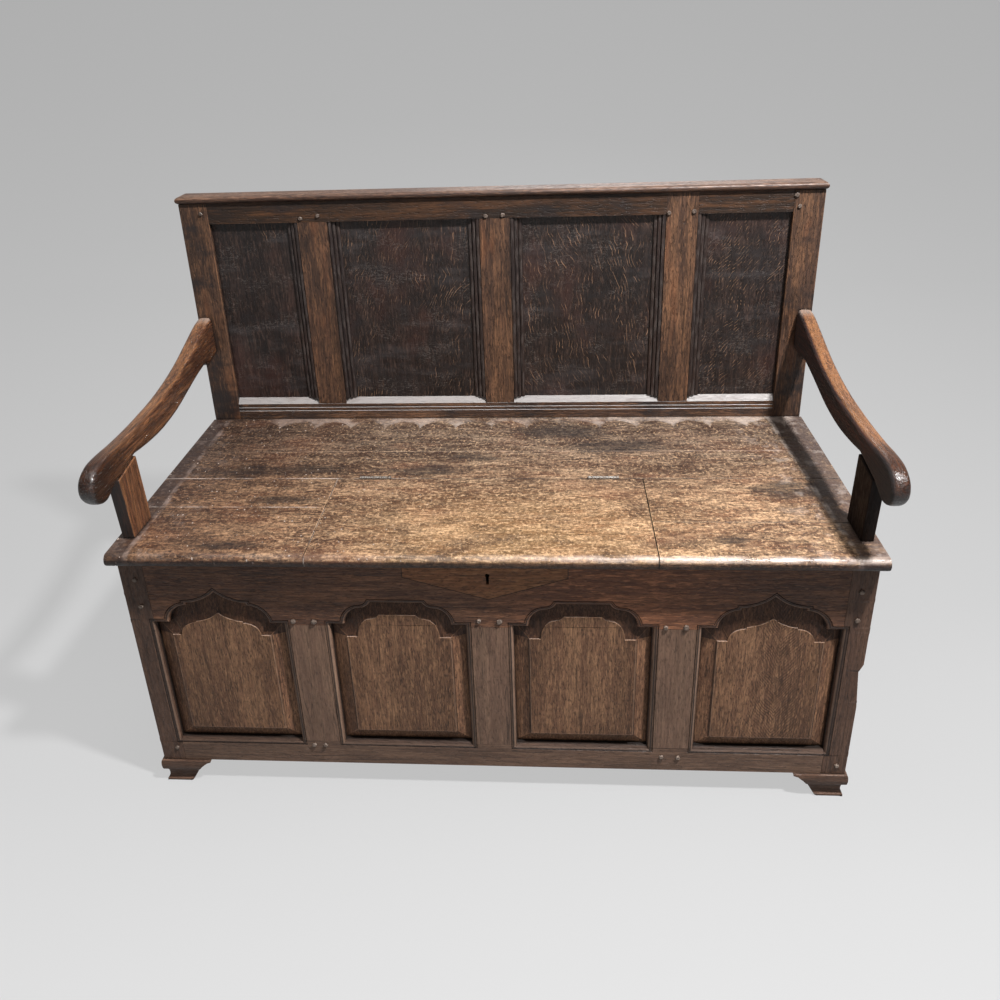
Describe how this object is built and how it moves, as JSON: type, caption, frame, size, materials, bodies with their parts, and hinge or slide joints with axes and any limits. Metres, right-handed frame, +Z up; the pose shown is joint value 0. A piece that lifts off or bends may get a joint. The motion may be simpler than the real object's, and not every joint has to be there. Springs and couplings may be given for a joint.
{
  "type": "settle bench",
  "caption": "Joined oak settle bench: panelled chest with a hinged seat lid and lock, arch-headed fielded panels, a panelled back with reeded muntins, and scrolled arms on flat supports.",
  "frame": {"origin": "on the floor under the middle of the bounding box", "axes": "+X to the right as seen from the front, +Y towards the back, +Z up"},
  "size_m": [1.3112, 0.622, 1.0493],
  "materials": {
    "front_oak": "waxed",
    "panel_oak": "waxed",
    "seat_oak": "waxed",
    "dark_oak": "waxed",
    "back_oak": "waxed",
    "arm_oak": "waxed",
    "hidden_oak": "dry",
    "iron": "dull",
    "steel": "worn"
  },
  "bodies": {
    "frame": {"arm_left": "arm_oak", "arm_right": "arm_oak", "arm_support_left": "arm_oak", "arm_support_right": "arm_oak", "backrest_bottom_rail": "back_oak", "backrest_cap": "back_oak", "backrest_muntin_centre": "back_oak", "backrest_muntin_left": "back_oak", "backrest_muntin_right": "back_oak", "backrest_panel_inner_left": "dark_oak", "backrest_panel_inner_right": "dark_oak", "backrest_panel_outer_left": "dark_oak", "backrest_panel_outer_right": "dark_oak", "backrest_top_rail_long": "back_oak", "backrest_top_rail_short": "back_oak", "box_back_board": "hidden_oak", "box_back_bottom_rail": "hidden_oak", "box_back_top_rail": "hidden_oak", "box_floor": "hidden_oak", "end_bottom_rail_left": "front_oak", "end_bottom_rail_right": "front_oak", "end_muntin_left": "front_oak", "end_muntin_right": "front_oak", "end_panel_front_left": "panel_oak", "end_panel_front_right": "panel_oak", "end_panel_rear_left": "panel_oak", "end_panel_rear_right": "panel_oak", "end_top_rail_left": "front_oak", "end_top_rail_right": "front_oak", "front_bottom_rail": "front_oak", "front_foot_left": "front_oak", "front_foot_right": "front_oak", "front_muntin_centre": "front_oak", "front_muntin_left": "front_oak", "front_muntin_right": "front_oak", "front_panel_inner_left": "panel_oak", "front_panel_inner_right": "panel_oak", "front_panel_outer_left": "panel_oak", "front_panel_outer_right": "panel_oak", "front_stile_left": "front_oak", "front_stile_right": "front_oak", "front_top_rail": "front_oak", "hinge_left_fixed_leaf": "steel", "hinge_right_fixed_leaf": "steel", "lock_case": "iron", "lock_patch": "front_oak", "rear_post_left": "back_oak", "rear_post_right": "back_oak", "seat_bearer_left": "hidden_oak", "seat_bearer_right": "hidden_oak", "seat_left_front_board": "seat_oak", "seat_left_middle_board": "seat_oak", "seat_rear_board": "seat_oak", "seat_right_front_board": "seat_oak", "seat_right_middle_board": "seat_oak"},
    "lid": {"hinge_left_lid_leaf": "steel", "hinge_right_lid_leaf": "steel", "lid_staple": "iron", "seat_lid": "seat_oak"},
    "lock_bolt": {"lock_bolt": "iron"}
  },
  "joints": [
    {"name": "lid_hinge", "type": "hinge", "parent": "frame", "child": "lid", "pos_m": [0, -0.00695, 0.5485], "axis": [-1, 0, 0], "range_deg": [0, 180]},
    {"name": "lock_bolt_slide", "type": "slide", "parent": "frame", "child": "lock_bolt", "axis": [1, 0, 0], "range_m": [0, 0.01]}
  ]
}
